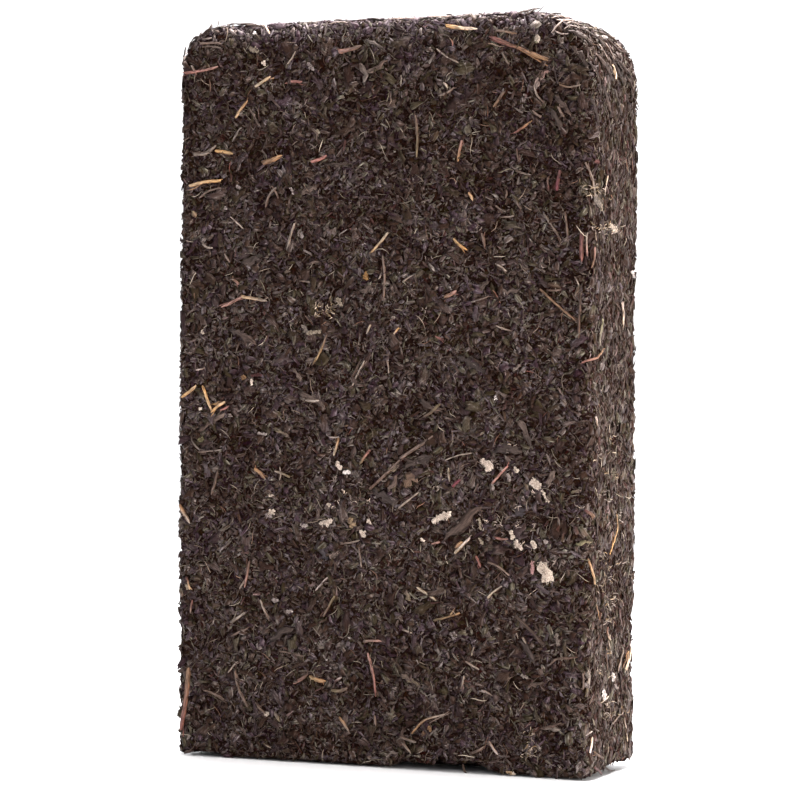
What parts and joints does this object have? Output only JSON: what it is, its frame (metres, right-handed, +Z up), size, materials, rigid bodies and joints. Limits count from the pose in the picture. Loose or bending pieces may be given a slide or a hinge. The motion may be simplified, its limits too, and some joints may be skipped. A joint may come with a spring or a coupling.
{
  "type": "dark tea brick",
  "caption": "Upright brick of pressed dark tea leaf with rounded corners, a crumbled foot and leaf chips and stems showing in its skin.",
  "frame": {"origin": "middle of the foot, on the surface that the brick stands on", "axes": "+Z up along the brick's height, +X along its width to the viewer's right, +Y through its thickness away from the shown broad face"},
  "size_m": [0.1447, 0.0442, 0.2366],
  "materials": {
    "pressed_leaf": "dark purplish-brown pressed tea leaf, dull with a faint sheen on flat chips",
    "leaf_chips": "separate dry leaf chips in dark brown, grey-brown and olive, dull to slightly glossy",
    "stems": "dry tea stems and twigs in tan, orange and red-brown, dull and finely grained",
    "pale_flecks": "cream flecks of torn stem pith and pale bloom, matte and rough"
  },
  "bodies": {
    "root": {"tea_brick": "pressed_leaf"}
  },
  "joints": []
}
